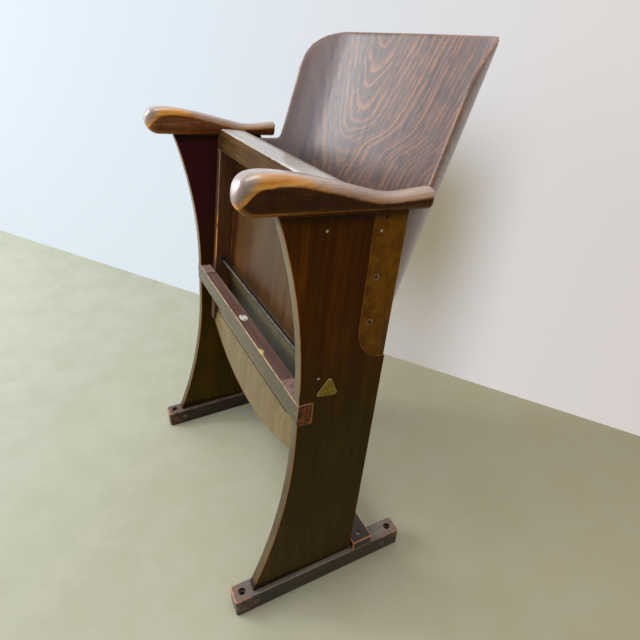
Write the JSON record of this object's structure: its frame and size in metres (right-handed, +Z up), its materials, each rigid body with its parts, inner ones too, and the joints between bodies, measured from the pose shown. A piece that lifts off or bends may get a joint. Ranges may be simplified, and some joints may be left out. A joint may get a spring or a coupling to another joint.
{
  "type": "tip up auditorium seat",
  "caption": "Wooden tip up auditorium seat with foot rails, side panels, shaped armrests, a bent plywood back and a seat that swings up on a rod.",
  "frame": {"origin": "floor level, midway between the four floor bolt holes", "axes": "+X to the sitter's left, +Y to the back, +Z up"},
  "size_m": [0.56, 0.4813, 0.876],
  "materials": {
    "frame_wood": "dark brown varnish, worn at the edges",
    "arm_wood": "dark brown varnish, worn to amber",
    "plywood": "dark brown gloss varnish over open grain",
    "leather": "worn brown",
    "brass": "tarnished",
    "steel": "dull, darkened with age",
    "enamel": "white gloss"
  },
  "bodies": {
    "frame": {"left_foot_rail": "frame_wood", "right_foot_rail": "frame_wood", "foot_rail_pegs": "frame_wood", "left_side_panel": "frame_wood", "right_side_panel": "frame_wood", "panel_nails": "steel", "left_armrest": "arm_wood", "right_armrest": "arm_wood", "armrest_dowels": "frame_wood", "front_cross_rail": "frame_wood", "cross_rail_screws": "steel", "seat_rest_pads": "leather", "number_plate": "enamel", "number_plate_pins": "steel", "rear_stretcher": "frame_wood", "stretcher_screws": "steel", "backrest_shell": "plywood", "backrest_bolts": "steel", "backrest_washers": "steel", "backrest_nuts": "steel", "pivot_rod": "steel", "pivot_spacers": "steel", "left_pivot_plate": "brass", "right_pivot_plate": "brass", "pivot_plate_pins": "steel"},
    "seat": {"seat_front_rail": "frame_wood", "seat_left_rail": "frame_wood", "seat_right_rail": "frame_wood", "seat_corner_dowels": "frame_wood", "seat_panel": "plywood", "seat_panel_nails": "steel", "seat_left_bush": "steel", "seat_right_bush": "steel"}
  },
  "joints": [
    {"name": "seat_tip", "type": "hinge", "parent": "frame", "child": "seat", "pos_m": [0, 0.0025, 0.4382], "axis": [1, 0, 0], "range_deg": [0, 92.7]}
  ]
}
